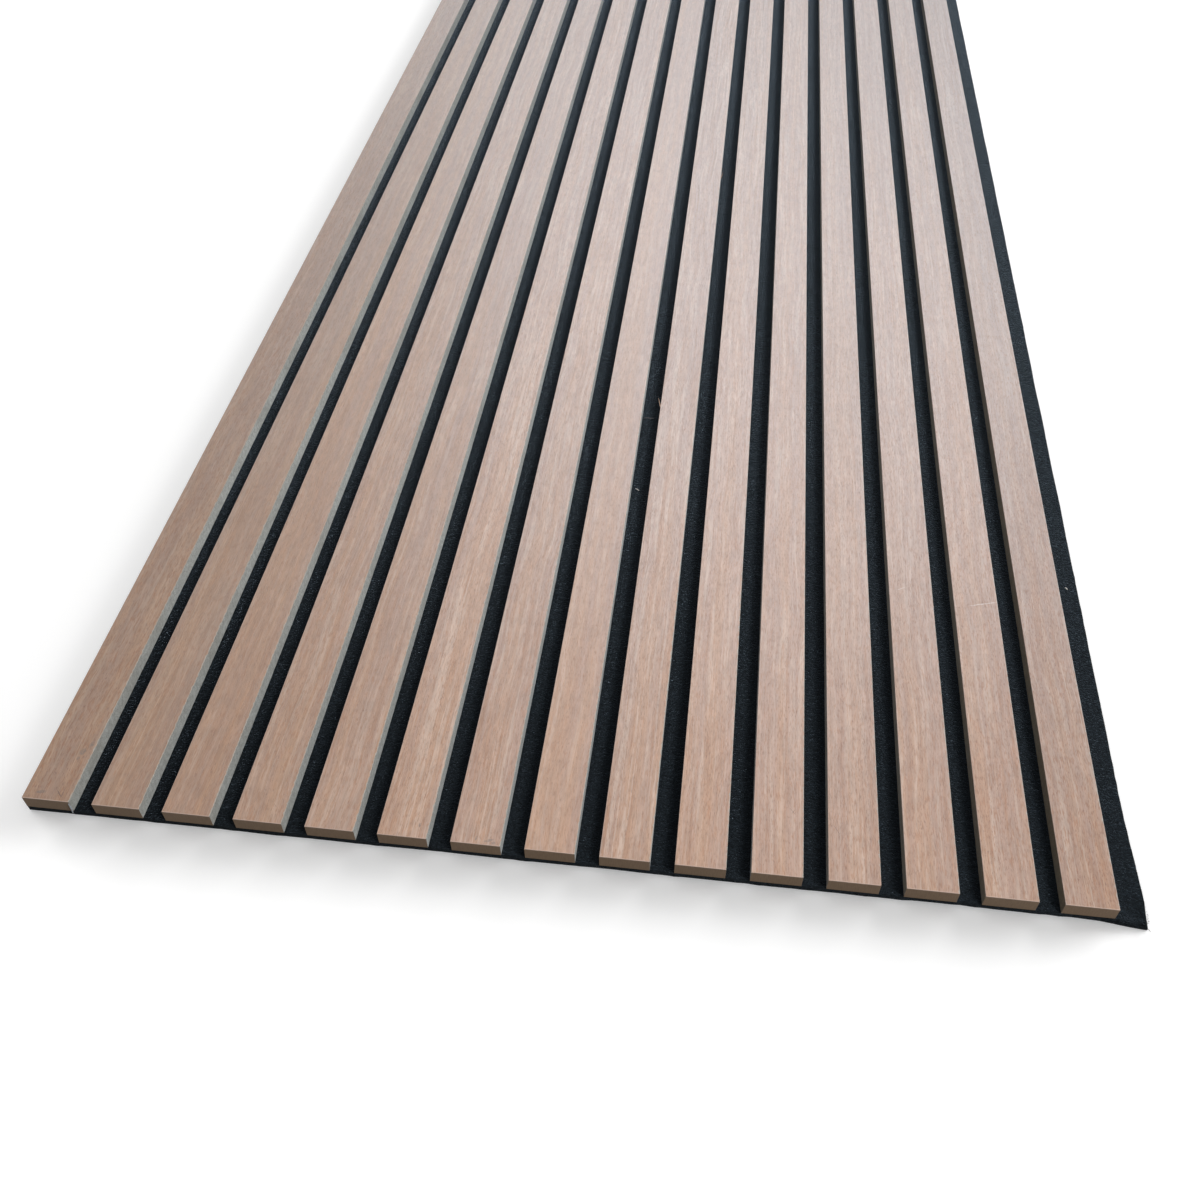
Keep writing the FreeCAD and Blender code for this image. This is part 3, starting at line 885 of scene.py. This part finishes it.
def floor_finish():
    """A pale floor that the camera and mirrors see as white, with the panel's shadow on it."""
    material = bpy.data.materials.new("studio_floor")
    material.use_nodes = True
    tree = material.node_tree
    tree.nodes.remove(tree.nodes["Principled BSDF"])
    glow = tree.nodes.new("ShaderNodeEmission")
    glow.inputs["Color"].default_value = FLOOR_GLOW_TINT
    coordinates = tree.nodes.new("ShaderNodeTexCoord")
    scaled = tree.nodes.new("ShaderNodeVectorMath")
    scaled.operation = "MULTIPLY"
    scaled.inputs[1].default_value = GLOW_STRETCH
    tree.links.new(coordinates.outputs["Object"], scaled.inputs[0])
    reach = tree.nodes.new("ShaderNodeVectorMath")
    reach.operation = "LENGTH"
    tree.links.new(scaled.outputs[0], reach.inputs[0])
    rise = tree.nodes.new("ShaderNodeMapRange")
    rise.interpolation_type = "SMOOTHSTEP"
    rise.inputs["From Min"].default_value = GLOW_RISE_START
    rise.inputs["From Max"].default_value = GLOW_RISE_END
    rise.inputs["To Min"].default_value = FLOOR_GLOW
    rise.inputs["To Max"].default_value = FLOOR_FAR_GLOW
    tree.links.new(reach.outputs["Value"], rise.inputs["Value"])
    tree.links.new(rise.outputs[0], glow.inputs["Strength"])
    lit = tree.nodes.new("ShaderNodeAddShader")
    tree.links.new(matt(tree, FLOOR_WHITE), lit.inputs[0])
    tree.links.new(glow.outputs[0], lit.inputs[1])
    surface = tree.nodes["Material Output"].inputs["Surface"]
    choose_by_ray(tree, matt(tree, FLOOR_BOUNCE), lit.outputs[0], surface)
    return material


def make_floor():
    """The floor that the panel lies on."""
    bm = bmesh.new()
    bmesh.ops.create_grid(bm, x_segments=1, y_segments=1, size=FLOOR_SIZE / 2)
    bmesh.ops.translate(bm, verts=bm.verts[:], vec=(0, 0, -FLOOR_DROP))
    floor = bpy.data.objects.new("floor", mesh_from(bm, "floor"))
    bpy.context.collection.objects.link(floor)
    floor.data.materials.append(floor_finish())


def add_soft_light(name, place, aim, width, height, power, colour):
    """A rectangular studio light, aimed at a point."""
    lamp = bpy.data.lights.new(name, "AREA")
    lamp.shape = "RECTANGLE"
    lamp.size = width
    lamp.size_y = height
    lamp.energy = power
    lamp.color = colour
    holder = bpy.data.objects.new(name, lamp)
    holder.location = place
    holder.rotation_euler = (Vector(aim) - Vector(place)).to_track_quat("-Z", "Y").to_euler()
    holder.visible_camera = False
    bpy.context.collection.objects.link(holder)
    return holder


def light_the_studio():
    """Soft light from the right and from behind, lamps for the floor alone, and a low even fill."""
    floor = bpy.data.objects["floor"]
    all_but_floor = bpy.data.collections.new("all_but_floor")
    all_but_floor.objects.link(floor)
    all_but_floor.collection_objects[0].light_linking.link_state = "EXCLUDE"
    lit_floor = bpy.data.collections.new("lit_floor")
    lit_floor.objects.link(floor)
    for lamps, receivers in ((PANEL_LAMPS, all_but_floor), (FLOOR_LAMPS, lit_floor)):
        for lamp in lamps:
            add_soft_light(*lamp).light_linking.receiver_collection = receivers
    world = bpy.data.worlds.new("studio")
    world.use_nodes = True
    bpy.context.scene.world = world
    tree = world.node_tree
    fill = tree.nodes["Background"]
    fill.inputs["Color"].default_value = WORLD_TINT
    fill.inputs["Strength"].default_value = WORLD_FILL
    white = tree.nodes.new("ShaderNodeBackground")
    white.inputs["Color"].default_value = (1, 1, 1, 1)
    white.inputs["Strength"].default_value = 1.0
    choose_by_ray(tree, fill.outputs[0], white.outputs[0], tree.nodes["World Output"].inputs["Surface"])


def make_camera():
    """The photograph's viewpoint: over the front end, looking down along the slats."""
    camera = bpy.data.cameras.new("camera")
    camera.lens = CAMERA_LENS
    camera.sensor_width = SENSOR_WIDTH
    camera.clip_start = CAMERA_NEAR
    camera.clip_end = CAMERA_FAR
    holder = bpy.data.objects.new("camera", camera)
    heading = Matrix.Rotation(math.radians(CAMERA_HEADING), 4, "Z")
    tilt = Matrix.Rotation(math.radians(90 - CAMERA_PITCH), 4, "X")
    roll = Matrix.Rotation(math.radians(CAMERA_ROLL), 4, "Z")
    holder.matrix_world = Matrix.Translation(CAMERA_PLACE) @ heading @ tilt @ roll
    bpy.context.collection.objects.link(holder)
    bpy.context.scene.camera = holder


VENEER_FINISH = oak_veneer()
BOARD_FINISH = raw_fibreboard()
FELT_FINISH = pressed_felt("pressed_felt", 1.0)
# A copy of the felt with little sheen for its cut sides, standing in for their shade.
SHADED_CUT_FELT_FINISH = pressed_felt("shaded_cut_felt", 0.12)
FUZZ_FINISH = plain_thread("felt_fibre", linear(36, 43, 50), 0.85)
WIRE_FINISH = zinc_wire()
SPLINTER_FINISH = plain_thread("torn_veneer", linear(178, 146, 124), 0.7)
LINT_FINISH = plain_thread("pale_lint", linear(225, 222, 218), 0.8)
FAINT_LINT_FINISH = plain_thread("faint_lint", linear(120, 112, 112), 0.8)
GLUE_FINISH = plain_thread("glue_thread", linear(176, 182, 190), 0.35)

dress_solids()
felt_sheet = make_felt()
edge_fuzz = make_edge_fuzz()
surface_fuzz = make_surface_fuzz()
make_splinters()
make_lint()
make_floor()
light_the_studio()
make_camera()
bpy.context.scene.view_settings.view_transform = "Standard"
